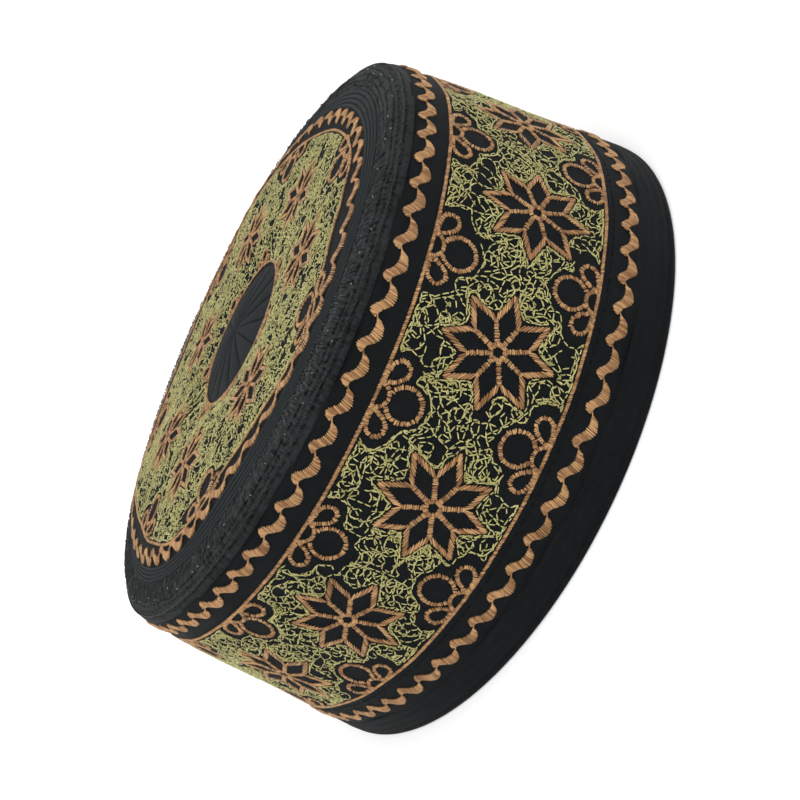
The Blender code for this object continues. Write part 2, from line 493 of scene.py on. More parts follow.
def satin(path, width, pitch, slant=0.0, wander=0.06 * MM):
    """Stitches laid across a path at an even pitch; slant turns them towards the path's run.

    Returns ends as an array of stitches by 2 by 2.
    """
    run = run_of(path)
    count = max(2, round(run[-1] / pitch))
    stops = (np.arange(count) + 0.5) * run[-1] / count
    middle = on_path(stops, run, path)
    reach = 0.6 * pitch
    tangent = on_path(stops + reach, run, path) - on_path(stops - reach, run, path)
    tangent = unit(tangent)
    across = side_by_side(-tangent[:, 1], tangent[:, 0])
    way = across * cos(slant) + tangent * sin(slant)
    half = width / 2 / cos(slant)
    ends = between(middle - way * half, middle + way * half)
    return ends + rng.normal(scale=wander, size=ends.shape)


# Ornaments in their own flat coordinates: x to the right, y away from their base


def star(tip):
    """Eight petals: slanted stitches along each edge, spokes to the notches, and a ring.

    A petal's tip lies at the tip radius and a notch lies half a petal further
    round, on a smaller radius. An edge is the straight line between the two.
    """
    scale = tip / STAR_TIP
    notch = NOTCH_SHARE * tip
    half_petal = pi / STAR_PETALS
    edge = np.array([[tip, 0], [notch * cos(half_petal), notch * sin(half_petal)]])
    count = 8
    share = (np.arange(count) + 0.35) / count
    middle = edge[0] + (edge[1] - edge[0]) * share[:, None]
    lean = radians(6)
    way = np.array([cos(lean), sin(lean)])
    half = 1.5 * MM * scale * np.interp(share, [0, 0.15, 1], [0.7, 1, 1])[:, None]
    upper = between(middle - way * half, middle + way * half)
    lower = upper * np.array([1, -1])
    spoke = satin(np.array([[2.1 * MM * scale, 0], [notch, 0]]), 1.45 * MM * scale, 0.52 * MM * scale)
    petal = np.concatenate([upper, lower, turn_flat(spoke, half_petal)])
    petals = [turn_flat(petal, 2 * half_petal * k) for k in range(STAR_PETALS)]
    circle = arc((0, 0), 1.8 * MM * scale, 0, 2 * pi)
    petals.append(satin(circle, 1.5 * MM * scale, 0.45 * MM * scale))
    ends = np.concatenate(petals)
    return ends + rng.normal(scale=0.05 * MM, size=ends.shape)


def turn_flat(ends, angle):
    """Turn flat ends about their origin."""
    c, s = cos(angle), sin(angle)
    return side_by_side(c * ends[..., 0] - s * ends[..., 1], s * ends[..., 0] + c * ends[..., 1])


def arc(centre, radius, start, end, count=48):
    """Points of a circle's arc."""
    angle = np.linspace(start, end, count)
    return side_by_side(centre[0] + radius * np.cos(angle), centre[1] + radius * np.sin(angle))


def teardrop(point, length, width, angle):
    """A loop that is pointed at its start: along it (1 - cos) / 2, across it sin times half-sine."""
    step = np.linspace(0, 2 * pi, 60)
    along = length * (1 - np.cos(step)) / 2
    across = width / 2 / 0.77 * np.sin(step) * np.sin(step / 2)
    return turn_flat(side_by_side(along, across), angle) + np.array(point)


def half_flower(scale=1.0):
    """Half a ring on the base line, a round petal over it and a leaning teardrop on each side."""
    size = MM * scale
    petal = arc((0, 6.75 * size), 4.1 * size, radians(-66), radians(246))
    parts = [satin(arc((0, 0), 2.9 * size, 0, pi), 1.2 * size, 0.52 * size),
             satin(petal, 1.3 * size, 0.5 * size, wander=0.1 * MM)]
    for mirror in (1, -1):
        drop = teardrop((3.0 * size, 0.6 * size), 6.7 * size, 4.2 * size, radians(32))
        parts.append(satin(drop * np.array([mirror, 1]), 1.3 * size, 0.5 * size, wander=0.1 * MM))
    return np.concatenate(parts)


# One wave, in mm: where a stitch starts on the edge towards the crown and ends on the other edge.
# x runs along the border and y towards the crown. The last row is the link from the wave before.
WAVE_PERIOD = 8.3 * MM
WAVE = (
    (0.42, 0.95, 0.5, 0.5), (0.62, 1.45, 0.75, 0.3), (0.95, 1.88, 1.0, 0.2), (1.35, 2.18, 1.25, 0.12),
    (1.8, 2.3, 1.55, 0.02), (2.25, 2.2, 1.85, -0.18), (2.7, 1.93, 2.15, -0.42), (3.1, 1.6, 2.45, -0.75),
    (3.5, 1.2, 2.75, -1.12), (3.9, 0.8, 3.1, -1.5), (4.3, 0.47, 3.5, -1.92), (4.75, 0.25, 3.95, -2.28),
    (5.25, 0.1, 4.5, -2.52), (5.75, -0.03, 5.1, -2.58), (6.25, -0.12, 5.7, -2.52), (6.75, -0.18, 6.3, -2.4),
    (7.15, -0.18, 6.85, -2.17), (7.5, -0.15, 7.3, -1.85), (7.8, -0.12, 7.7, -1.45), (8.02, -0.1, 8.0, -0.95),
    (8.15, -0.1, 8.18, -0.5), (-0.35, -0.2, 0.8, 0.25))
WAVE_THREAD = (np.append(np.full(len(WAVE) - 1, 0.58 * MM), 0.36 * MM), 0.5 * MM, 0.12 * MM)


def wave():
    """Stitches between a wave's two edges, each a little longer than drawn, and its link."""
    ends = np.array(WAVE).reshape(-1, 2, 2) * MM
    way = unit(ends[:, 1] - ends[:, 0]) * 0.12 * MM
    ends = between(ends[:, 0] - way, ends[:, 1] + way)
    return ends + rng.normal(scale=0.05 * MM, size=ends.shape)


def lay_on_band(ends, turn, distance, upwards=True):
    """Flat ends set on the side: x goes round the cap, y up or down the outline."""
    along = distance + np.where(upwards, -1, 1) * ends[..., 1]
    radius = outline(along)[0]
    return side_by_side(turn + ends[..., 0] / radius, along)


def lay_on_top(ends, centre, angle):
    """Flat ends turned and set on the crown."""
    return turn_flat(ends, angle) + np.asarray(centre)


def dashes(start, end, share=0.86):
    """Shorten stitches about their middles, which leaves the gaps of a running stitch."""
    middle = (start + end) / 2
    return between(middle + (start - middle) * share, middle + (end - middle) * share)


# The meander: rows of running stitches that curl about the ornaments


def star_clearance(x, y, tip):
    """Distance outside a star's edge: folded into half a petal, then measured from its edge's line."""
    angle = np.abs((np.arctan2(y, x) + pi / STAR_PETALS) % (2 * pi / STAR_PETALS) - pi / STAR_PETALS)
    radius = np.hypot(x, y)
    notch = NOTCH_SHARE * tip
    first = np.array([tip, 0.0])
    second = notch * np.array([cos(pi / STAR_PETALS), sin(pi / STAR_PETALS)])
    way = (second - first) / np.linalg.norm(second - first)
    out = np.array([-way[1], way[0]])
    out = out * np.sign(out[0])
    return (radius * np.cos(angle) - first[0]) * out[0] + (radius * np.sin(angle) - first[1]) * out[1]


def flower_clearance(x, y, scale=1.0):
    """Distance outside a half flower: the least of its ring, its petal and its two teardrops."""
    size = MM * scale
    ring = np.hypot(x, y) - 3.4 * size
    petal = np.hypot(x, y - 6.75 * size) - 4.7 * size
    drop = np.hypot((np.abs(x) - 7.0 * size) * 0.75, y - 3.5 * size) - 2.8 * size
    return np.minimum(np.minimum(ring, petal), drop)


BAND_SCALE = float(outline(STAR_ROW)[0])
STAR_PITCH = 2 * pi * BAND_SCALE / STARS


def star_row(number):
    """Every second star of the side sits a little lower."""
    return STAR_ROW + STAR_DROP * (number % STARS % 2 == 0)


def band_clearance(x, y):
    """Free distance on the side, x round the cap at the stars' height and y along the outline."""
    number = np.round((x - STAR_TURN * BAND_SCALE) / STAR_PITCH)
    from_star = x - STAR_TURN * BAND_SCALE - number * STAR_PITCH
    from_upper = (x - STAR_TURN * BAND_SCALE - UPPER_SHIFT) % STAR_PITCH - STAR_PITCH / 2
    from_lower = (x - STAR_TURN * BAND_SCALE - LOWER_SHIFT) % STAR_PITCH - STAR_PITCH / 2
    free = star_clearance(from_star, y - star_row(number), STAR_TIP)
    free = np.minimum(free, flower_clearance(from_upper, y - UPPER_LINE))
    free = np.minimum(free, flower_clearance(from_lower, LOWER_LINE - y))
    edge = np.minimum(y - UPPER_LINE, LOWER_LINE - y)
    return np.minimum(free - 0.8 * MM, edge - 0.7 * MM)


def top_places(count, angle, radius):
    """Centres on the crown at even angles, as true (x, y, angle) rows."""
    angles = angle + turns(count)
    return side_by_side(radius * np.cos(angles), radius * np.sin(angles), angles)


def line_radius(angle):
    """True radius of the crown's copper line at a true angle."""
    turn = np.arctan2(np.sin(angle) / (1 + OVAL), np.cos(angle) / (1 - OVAL))
    distance = crown_line(turn)
    return distance * np.hypot((1 - OVAL) * np.cos(turn), (1 + OVAL) * np.sin(turn))


def top_clearance(x, y):
    """Free distance on the crown between the disc, its ornaments and the copper line."""
    radius = np.hypot(x, y)
    free = np.minimum(radius - DISC_RADIUS - 0.6 * MM, line_radius(np.arctan2(y, x)) - radius - 0.6 * MM)
    for cx, cy, angle in top_places(TOP_STARS, TOP_STAR_ANGLE, TOP_STAR_RADIUS):
        c, s = cos(angle), sin(angle)
        ahead, aside = c * (x - cx) + s * (y - cy), -s * (x - cx) + c * (y - cy)
        free = np.minimum(free, star_clearance(ahead, aside, TOP_STAR_TIP) - 0.7 * MM)
    for angle in TOP_FLOWERS:
        c, s = cos(angle), sin(angle)
        ahead, aside = c * x + s * y, -s * x + c * y
        free = np.minimum(free, flower_clearance(aside, line_radius(angle) - ahead) - 0.6 * MM)
        free = np.minimum(free, flower_clearance(aside, ahead - DISC_RADIUS, 0.47) - 0.5 * MM)
    return free


def meander(clearance, start, steps, reach, cell, wrap=1.0):
    """Walkers that each sew one stitch a step and pick its way among a fan of turns.

    A turn costs more where it leaves the walker's own curl, where stitches
    already lie close, and most where it runs into an ornament. One walker in
    four also keeps close to the ornaments. Returns the stitches' ends and how
    many stitches lie about each of them.
    """
    spread = np.linspace(-2.4, 2.4, 13)
    count = len(start)
    spot = start.copy()
    heading = rng.uniform(0, 2 * pi, count)
    curl = rng.uniform(0.2, 1.1, count) * rng.choice([-1, 1], count)
    hugging = np.where(rng.random(count) < 0.25, 2.2 / MM, 0)
    crowd = np.zeros((1200, 1200))
    wide = np.zeros((400, 400))
    stitches, cells_used = [], []
    for _ in range(steps):
        length = rng.uniform(*reach, count)
        headings = heading[:, None] + curl[:, None] + spread
        tries = spot[:, None] + length[:, None, None] * side_by_side(np.cos(headings), np.sin(headings))
        free = clearance(tries[..., 0], tries[..., 1])
        middle = (tries + spot[:, None]) / 2
        free = np.minimum(free, clearance(middle[..., 0], middle[..., 1]))
        cells = (side_by_side(middle[..., 0] % wrap, middle[..., 1]) / cell).astype(int) % 1200
        ahead = cells // 3
        cost = 0.3 * spread ** 2 + 0.45 * crowd[cells[..., 0], cells[..., 1]]
        cost = cost + 0.32 * wide[ahead[..., 0], ahead[..., 1]]
        cost = cost + hugging[:, None] * np.minimum(np.abs(free - 0.4 * MM), 2.5 * MM)
        cost = cost + rng.uniform(0, 1.6, cost.shape) + np.where(free < 0, 40 - 9000 * free, 0)
        pick = np.arange(count), np.argmin(cost, axis=1)
        stitches.append(between(spot, tries[pick]))
        cells_used.append(cells[pick])
        np.add.at(crowd, (cells[pick][:, 0], cells[pick][:, 1]), 1)
        np.add.at(wide, (cells[pick][:, 0] // 3, cells[pick][:, 1] // 3), 1)
        spot = tries[pick]
        heading = headings[pick]
        change = rng.random(count) < 0.25
        fresh = rng.uniform(0.2, 1.3, count) * rng.choice([-1, 1], count)
        curl = np.where(change, fresh, curl)
    cells_used = np.concatenate(cells_used)
    return np.concatenate(stitches), crowd[cells_used[:, 0], cells_used[:, 1]]


def free_starts(clearance, pitch, low, high):
    """Starting places on an even grid, each moved a little at random, that are clear of the ornaments."""
    x = np.arange(low[0], high[0], pitch)
    y = np.arange(low[1] + pitch / 2, high[1], pitch)
    places = np.stack(np.meshgrid(x, y), -1).reshape(-1, 2)
    places = places + rng.uniform(-0.45 * pitch, 0.45 * pitch, places.shape)
    return places[clearance(places[:, 0], places[:, 1]) > 0]


# Materials


class Reading:
    """An output of a material's node tree; arithmetic on it adds Math nodes."""

    def __init__(self, look, socket):
        self.look = look
        self.socket = socket

    def maths(self, operation, first, second=0.0):
        """A Math node's output."""
        return self.look.node("ShaderNodeMath", {"operation": operation}, {0: first, 1: second})

    def __add__(self, other):
        return self.maths("ADD", self, other)

    def __radd__(self, other):
        return self.maths("ADD", other, self)

    def __sub__(self, other):
        return self.maths("SUBTRACT", self, other)

    def __rsub__(self, other):
        return self.maths("SUBTRACT", other, self)

    def __mul__(self, other):
        return self.maths("MULTIPLY", self, other)

    def __rmul__(self, other):
        return self.maths("MULTIPLY", other, self)

    def sine(self):
        """A wave from -1 to 1 of this angle in radians."""
        return self.maths("SINE", self)


class Look:
    """A material with a Principled shader whose constant values are set on its own sockets."""

    def __init__(self, name, **constants):
        self.material = bpy.data.materials.new(name)
        self.material.use_nodes = True
        self.tree = self.material.node_tree
        self.shader = self.tree.nodes["Principled BSDF"]
        for socket, value in constants.items():
            self.shader.inputs[socket.replace("_", " ")].default_value = value

    def feed(self, socket, value):
        """Link a reading to a socket, or set a plain value on it."""
        if isinstance(value, Reading):
            self.tree.links.new(value.socket, socket)
        else:
            socket.default_value = value

    def node(self, kind, settings, sockets, output=0):
        """A node of this kind, its settings made first, then its sockets' values or links."""
        node = self.tree.nodes.new(kind)
        for key, value in settings.items():
            setattr(node, key, value)
        for key, value in sockets.items():
            self.feed(node.inputs[key], value)
        return Reading(self, node.outputs[output])

    def blend(self, share, first, second):
        """A colour between two, by a share from 0 to 1."""
        return self.node("ShaderNodeMix", {"data_type": "RGBA", "clamp_factor": True},
                         {0: share, 6: (*first, 1), 7: (*second, 1)}, 2)

    def attribute(self, name):
        """A mesh attribute's value at each point."""
        return self.node("ShaderNodeAttribute", {"attribute_name": name}, {}, "Fac")

    def noise(self, scale, detail=2.0):
        """Cloudy values about 0.5, with this many clouds to a metre."""
        spot = self.node("ShaderNodeTexCoord", {}, {}, "Object")
        return self.node("ShaderNodeTexNoise", {}, {"Vector": spot, "Scale": scale, "Detail": detail})

    def bump(self, height, depth):
        """Relief for the shader, by a height from 0 to 1 of this depth."""
        ridge = self.node("ShaderNodeBump", {}, {"Height": height, "Strength": 1.0, "Distance": depth})
        self.feed(self.shader.inputs["Normal"], ridge)


def cloth_look(name, dark, light, lint_share, roughness, specular, pebbles):
    """Black cloth: a plain weave of two crossing sine waves, with lint, coarse pebbles, and painted light
    and shade.

    Where it is gathered, noise drawn out along the outline gives it fine streaks, both in its bump and as
    painted light and shade in its colour.
    """
    look = Look(name, Roughness=roughness, Metallic=0.0, Sheen_Weight=0.0, Sheen_Roughness=0.4,
                Specular_IOR_Level=specular)
    uv = look.node("ShaderNodeUVMap", {"uv_map": "weave"}, {})
    across = look.node("ShaderNodeSeparateXYZ", {}, {0: uv}, 0)
    along = look.node("ShaderNodeSeparateXYZ", {}, {0: uv}, 1)
    threads_a_metre = 2 * pi / (0.42 * MM)
    weave = (across * threads_a_metre).sine() * (along * threads_a_metre).sine()
    lint = look.noise(420, 3.0)
    shade = look.noise(60)
    coarse = look.noise(900, 2.0)
    # The pebbles also paint their tops paler in the colour, as painted highlights
    share = (lint * 0.7 + shade * 0.6 - 0.25 + coarse * pebbles - pebbles * 0.55) * lint_share
    drawn = look.node("ShaderNodeCombineXYZ", {}, {0: across * 1250.0, 1: along * 330.0})
    streak = look.node("ShaderNodeTexNoise", {}, {"Vector": drawn, "Scale": 1.0, "Detail": 3.0})
    streak = (streak - 0.5) * look.attribute("gather")
    # The mesh's paleness carries painted highlights and painted shade on the cloth's relief, and the streaks
    # paint light and shade along its folds
    share = share + look.attribute("tone_and_painted_light") + streak * 2.6
    look.feed(look.shader.inputs["Base Color"], look.blend(share, dark, light))
    look.bump(weave * 0.5 + lint * 0.7 + coarse * pebbles * 2.0 + streak * 7.0, 0.09 * MM)
    return look.material


def thread_look(name, dark, light, roughness, sheen, coat=0.0, specular=0.5):
    """Twisted thread: each stitch has its own tone, paler at both ends as a painted highlight, and fine
    strands wind along it.
    """
    look = Look(name, Roughness=roughness, Metallic=0.0, Sheen_Weight=sheen, Specular_IOR_Level=specular,
                Sheen_Roughness=0.3, Coat_Weight=coat, Coat_Roughness=0.2)
    strand = (look.attribute("along") * (2 * pi / (0.32 * MM)) + look.attribute("around") * 4 * pi).sine()
    tone = look.attribute("tone")
    worn = look.noise(160)
    look.feed(look.shader.inputs["Base Color"],
              look.blend(tone * 0.75 + worn * 0.4 - 0.15 + strand * 0.14, dark, light))
    look.bump(strand * 0.5 + 0.5, 0.05 * MM)
    return look.material


black_cloth = cloth_look("black_cloth", (0.0028, 0.0036, 0.0044), (0.029, 0.0345, 0.0365),
                         lint_share=0.2, roughness=0.7, specular=0.07, pebbles=0.0)
black_seam = cloth_look("black_seam_cloth", (0.0016, 0.002, 0.0022), (0.042, 0.047, 0.048),
                        lint_share=0.5, roughness=0.6, specular=0.06, pebbles=1.0)
copper_thread = thread_look("copper_thread", (0.19, 0.074, 0.017), (0.68, 0.40, 0.175),
                            roughness=0.40, sheen=0.06)
olive_thread = thread_look("olive_thread", (0.19, 0.15, 0.016), (0.69, 0.66, 0.28),
                           roughness=0.40, sheen=0.06)
black_thread = thread_look("black_thread", (0.003, 0.0037, 0.0042), (0.028, 0.032, 0.032),
                           roughness=0.45, sheen=0.0, coat=0.1, specular=0.25)
dark_thread = thread_look("dark_thread", (0.0012, 0.0014, 0.0016), (0.005, 0.006, 0.0066),
                          roughness=0.6, sheen=0.0, specular=0.06)
# Pale grey knots on black thread: their colour is a painted glint
painted_glint_knot = Look("painted_glint_knot", Roughness=0.2, Metallic=0.0, Base_Color=(0.30, 0.32, 0.32, 1)).material


# The four cloths


def crown_cloth():
    """The crown: rows follow the disc, the field, the copper line and then each quilted row."""
    columns = 384
    turn = turns(columns)
    line = quilt_line(turn, 0)
    edge = SEAM_START + 1.0 * MM
    rows = [np.zeros(columns)]
    rows += [np.full(columns, DISC_RADIUS * share) for share in np.sin(pi / 2 * np.linspace(0, 1, 19)[1:])]
    rows += [DISC_RADIUS + (line - DISC_RADIUS) * share for share in np.linspace(0, 1, 16)[1:]]
    rows += [line + (SEAM_START - line) * share for share in np.linspace(0, 1, 8 * QUILT_ROWS + 1)[1:]]
    distance = np.array(rows)
    lift = crown_lift(distance, turn)
    pleat = np.clip(2.2 * np.abs(np.sin(PLEATS / 2 * turn)), 0, 1) * (distance < DISC_RADIUS)
    # Painted highlights on the tops of the quilted ridges and painted shade in their grooves; the disc is
    # painted paler between its pleats as a painted sheen, and darker along each pleat's crease as painted
    # shade
    tone_and_painted_light = 0.62 * ridges(distance, turn) ** 1.5 + 0.3 * pleat
    under = np.array([[edge], [edge], [edge * 0.8], [edge * 0.5], [edge * 0.2], [0.0]]) + np.zeros(columns)
    depth = np.array([[-0.2], [-2.4], [-2.4], [-2.4], [-2.4], [-2.4]]) * MM + np.zeros(columns)
    distance = np.concatenate([distance, under])
    lift = np.concatenate([lift, depth])
    tone_and_painted_light = np.concatenate([tone_and_painted_light, 0 * depth])
    piece = round_cloth("crown_cloth", distance, lift, black_cloth, tone_and_painted_light)
    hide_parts("crown_top")


def towards_x(turn):
    """A share that goes from 0 to 1 where the seam's gathers give way to quilted rows."""
    return np.clip((np.cos(turn) - 0.2) / 0.35, 0, 1)


def seam_cloth():
    """The binding over the shoulder: uneven gathers, stitched grooves along it, then pebbled cloth.

    Towards +X the gathers give way to more quilted rows.
    """
    columns = 960
    outer = np.linspace(SEAM_START - 0.4 * MM, SEAM_END, 42)
    inner = np.linspace(SEAM_END, SEAM_START, 4)
    distance = np.concatenate([outer, inner])[:, None] + np.zeros(columns)
    quilted = towards_x(even(turns(columns)))
    share = np.clip((outer - SEAM_START) / (GATHER_END - SEAM_START), 0, 1)[:, None]
    gathers = [1 - np.abs(ripple(columns, 110, 260, seed)) for seed in (3, 4, 6)]
    gathers = np.where(share < 0.5, gathers[0] * (1 - 2 * share) + gathers[1] * 2 * share,
                       gathers[1] * (2 - 2 * share) + gathers[2] * (2 * share - 1))
    gathers = np.clip(gathers, -1, 1) * np.sin(pi * share) ** 0.5 * (1 - 0.8 * quilted)
    past = np.clip((outer - GATHER_END) / (SEAM_END - GATHER_END), 0, 1)[:, None]
    pebbles = np.array([ripple(columns, 90, 420, 30 + row) for row in range(len(outer))])
    pebbles = pebbles * np.sin(pi * np.clip(past * 1.1, 0, 1))
    groove = np.zeros((len(outer), columns))
    depths = (1, 0.7, 0.6, quilted, quilted, quilted)
    for line, deep, seed in zip(SEAM_ROWS + QUILTED_SEAM, depths, range(50, 56)):
        wander = line + 0.14 * MM * ripple(columns, 6, 60, seed)
        dashed = np.clip(0.85 + 0.35 * ripple(columns, 60, 400, seed + 10), 0.2, 1.2) * deep
        near = np.clip(1.5 - np.abs(outer[:, None] - wander) / (0.24 * MM), 0, 1)
        groove = np.maximum(groove, near * dashed)
    lift = 0.05 * MM + 0.16 * MM * gathers + 0.12 * MM * np.sin(pi * past) + 0.07 * MM * pebbles
    lift = np.where(share <= 0, -0.3 * MM, lift - 0.28 * MM * groove)
    # Painted light and shade in the colour: the tops of the gathers and pebbles paler as painted highlights,
    # their hollows and the stitched grooves darker as painted shade; the whole binding a little paler, and
    # darker towards its outer edge
    tone_and_painted_light = 0.3 + 0.2 * gathers + 0.12 * pebbles - 0.5 * groove - 0.25 * past ** 3
    gather = (1 - past) ** 2 * (1 - 0.7 * quilted) + 0.25 * past
    depth = np.full((4, columns), -SEAM_WALL)
    tone_and_painted_light = np.concatenate([tone_and_painted_light, 0 * depth])
    gather = np.concatenate([gather, 0 * depth])
    lift = np.concatenate([lift, depth])
    piece = ring_cloth("seam_binding", distance, lift, black_seam, tone_and_painted_light, gather)
    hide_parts("crown_seam")


def band_cloth():
    """The side: one strip closed to a ring, tucked a little under the seam and the hem."""
    columns = 360
    outer = np.linspace(SEAM_END - 0.5 * MM, HEM_START + 0.5 * MM, 26)
    inner = np.linspace(HEM_START + 0.5 * MM, SEAM_END - 0.5 * MM, 5)
    distance = np.concatenate([outer, inner])[:, None] + np.zeros(columns)
    lift = band_lift(distance[:26], even(turns(columns)))
    lift = np.concatenate([lift, np.full((5, columns), -CLOTH_WALL)])
    piece = ring_cloth("band_cloth", distance, lift, black_cloth)
    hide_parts("side_band")


def hem_cloth():
    """The hem: folded twice, grooved along its rows of stitches, with a flat ring on the floor."""
    columns = 360
    angle = np.linspace(0, pi / 2, 5)
    outer = np.linspace(HEM_START, RIM - FOLD_RADIUS, 26)
    fold_depth = FOLD_RADIUS * (1 - np.cos(angle))
    fold = RIM - fold_depth * tan(SIDE_LEAN) - FOLD_RADIUS * (1 - np.sin(angle))
    inside = HEM_WALL - fold_depth[::-1]
    inner = fold[::-1] - (inside - fold_depth[::-1]) * tan(SIDE_LEAN)
    distance = np.concatenate([outer, fold[1:], inner, [HEM_START + 3 * MM, HEM_START]])
    above_fold = np.clip((RIM - FOLD_RADIUS - outer) / (2 * MM), 0, 1)[:, None]
    lift = hem_lift(outer[:, None] + np.zeros(columns)) + 0.1 * MM * above_fold
    lift[-1] = 0
    depth = -np.concatenate([fold_depth[1:], inside, [HEM_WALL, HEM_WALL]])
    lift = np.concatenate([lift, depth[:, None] + np.zeros(columns)])
    piece = ring_cloth("hem_fold", distance[:, None] + np.zeros(columns), lift, black_cloth)
    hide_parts("rim_hem")


crown_cloth()
seam_cloth()
band_cloth()
hem_cloth()


# Copper satin on the side


star_turns = STAR_TURN + turns(STARS)
flower_turns = star_turns + pi / STARS

sets = [(*on_band(lay_on_band(star(STAR_TIP), turn, star_row(k))), *STAR_THREAD)
        for k, turn in enumerate(star_turns)]
sew("band_stars", sets, copper_thread, 2)
flowers = []
for turn in flower_turns:
    flowers.append(lay_on_band(half_flower(), turn + UPPER_SHIFT / BAND_SCALE, UPPER_LINE, upwards=False))
    flowers.append(lay_on_band(half_flower(), turn + LOWER_SHIFT / BAND_SCALE, LOWER_LINE))
sets = [(*on_band(ends), *FLOWER_THREAD) for ends in flowers]
sew("band_half_flowers", sets, copper_thread, 2)


def border_line(distance):
    """A narrow satin line right round the side, with slightly slanted stitches."""
    count = round(2 * pi * float(outline(distance)[0]) / (0.52 * MM))
    turn = turns(count)
    lean = 0.3 * MM / RIM_RADIUS
    low = side_by_side(turn - lean, distance - 0.52 * MM)
    ends = between(low, side_by_side(turn + lean, distance + 0.52 * MM))
    return ends + rng.normal(scale=(0.04 * MM / RIM_RADIUS, 0.05 * MM), size=ends.shape)


def wave_row(distance, count, phase):
    """Waves laid end to end right round the side."""
    radius = float(outline(distance)[0])
    stretch = np.array([2 * pi * radius / count / WAVE_PERIOD, 1])
    row = []
    for k in range(count):
        laid = lay_on_band(wave() * stretch, phase + 2 * pi * k / count, distance)
        row.append((*on_band(laid), *WAVE_THREAD))
    return row


sets = wave_row(UPPER_WAVE, UPPER_WAVES, radians(0.2))
sets += wave_row(LOWER_WAVE, LOWER_WAVES, -pi / LOWER_WAVES)
sew("band_waves", sets, copper_thread, 3)
sets = [(*on_band(border_line(distance)), *LINE_THREAD) for distance in (UPPER_LINE, LOWER_LINE)]
sew("band_lines", sets, copper_thread, 2)


# Copper satin on the crown


def crown_path(line, *row):
    """The true path, closed, of a line round the crown, or of one row of its lines."""
    turn = np.linspace(-pi, pi, 720, endpoint=False)
    distance = line(turn, *row)
    path = side_by_side((1 - OVAL) * distance * np.cos(turn), (1 + OVAL) * distance * np.sin(turn))
    return np.concatenate([path, path[:1]])


def crown_waves():
    """Waves laid along the crown's border, each bent to it: x along its path, y outwards."""
    path = crown_path(wave_line)
    run = run_of(path)
    stretch = np.array([run[-1] / TOP_WAVES / WAVE_PERIOD, -1])
    laid = []
    for k in range(TOP_WAVES):
        ends = wave() * stretch
        stop = (ends[..., 0] + k * run[-1] / TOP_WAVES) % run[-1]
        spot = on_path(stop, run, path)
        way = unit(on_path((stop + MM) % run[-1], run, path) - spot)
        out = side_by_side(way[..., 1], -way[..., 0])
        laid.append((*on_top(spot + out * ends[..., 1:]), *WAVE_THREAD))
    return laid


top_copper = [lay_on_top(star(TOP_STAR_TIP), (x, y), angle)
              for x, y, angle in top_places(TOP_STARS, TOP_STAR_ANGLE, TOP_STAR_RADIUS)]
for angle in TOP_FLOWERS:
    radius = float(line_radius(angle))
    outward = np.array([cos(angle), sin(angle)])
    top_copper.append(lay_on_top(half_flower(), outward * radius, angle + pi / 2))
    top_copper.append(lay_on_top(half_flower(0.47), outward * (DISC_RADIUS + DISC_RING), angle - pi / 2))
top_copper.append(satin(crown_path(crown_line), 0.95 * MM, 0.5 * MM, slant=radians(15)))
ring = arc((0, 0), DISC_RADIUS + DISC_RING, 0, 2 * pi, 200)
top_copper.append(satin(ring, 0.8 * MM, 0.5 * MM, slant=radians(15)))
sets = [(*on_top(ends), *TOP_THREAD) for ends in top_copper]
sew("crown_ornament", sets + crown_waves(), copper_thread, 2)


# Olive running stitches


def meander_tones(crowding):
    """Pale where a stitch lies alone, darker in knots, with some chance to it."""
    return np.clip(1.05 - 0.2 * crowding + rng.uniform(-0.2, 0.2, len(crowding)), 0, 1)


def band_meander():
    """The side's fill, nearly one stitch for each square millimetre."""
    starts = free_starts(band_clearance, 3.35 * MM, (0, UPPER_LINE), (2 * pi * BAND_SCALE, LOWER_LINE))
    walk, crowding = meander(band_clearance, starts, 12, (1.1 * MM, 2.3 * MM), 0.9 * MM, 2 * pi * BAND_SCALE)
    ends = dashes(walk[:, 0], walk[:, 1], 0.93)
    ends[..., 0] = ends[..., 0] / BAND_SCALE
    raised = rng.uniform(0, 0.2 * MM, len(ends))
    sew("band_meander", [(*on_band(ends), 0.35 * MM, 0.28 * MM, raised)], olive_thread, 2,
        meander_tones(crowding))


def crown_meander():
    """The crown's fill, as close as the side's."""
    reach = 68 * MM
    starts = free_starts(top_clearance, 3.3 * MM, (-reach, -reach), (reach, reach))
    walk, crowding = meander(top_clearance, starts, 14, (0.9 * MM, 2.0 * MM), 0.9 * MM)
    ends = dashes(walk[:, 0], walk[:, 1], 0.93)
    raised = rng.uniform(0, 0.2 * MM, len(ends))
    sew("crown_meander", [(*on_top(ends), 0.36 * MM, 0.3 * MM, raised)], olive_thread, 2,
        meander_tones(crowding))


band_meander()
crown_meander()


# Black stitching


def round_row(distance, stitch, gap):
    """Ends of running stitches right round the side."""
    radius = float(outline(distance)[0])
    count = round(2 * pi * radius / (stitch + gap))
    low = side_by_side(turns(count), distance)
    return between(low, low + (stitch / radius, 0))


def topstitching():
    """Rows along the hem and beside the lower waves."""
    rows = [round_row(distance, 2.1 * MM, 0.6 * MM) for distance in (*HEM_ROWS, BLACK_LINE)]
    sets = [(*on_band(ends), *HEM_THREAD) for ends in rows]
    sew("topstitching", sets, dark_thread, 2)


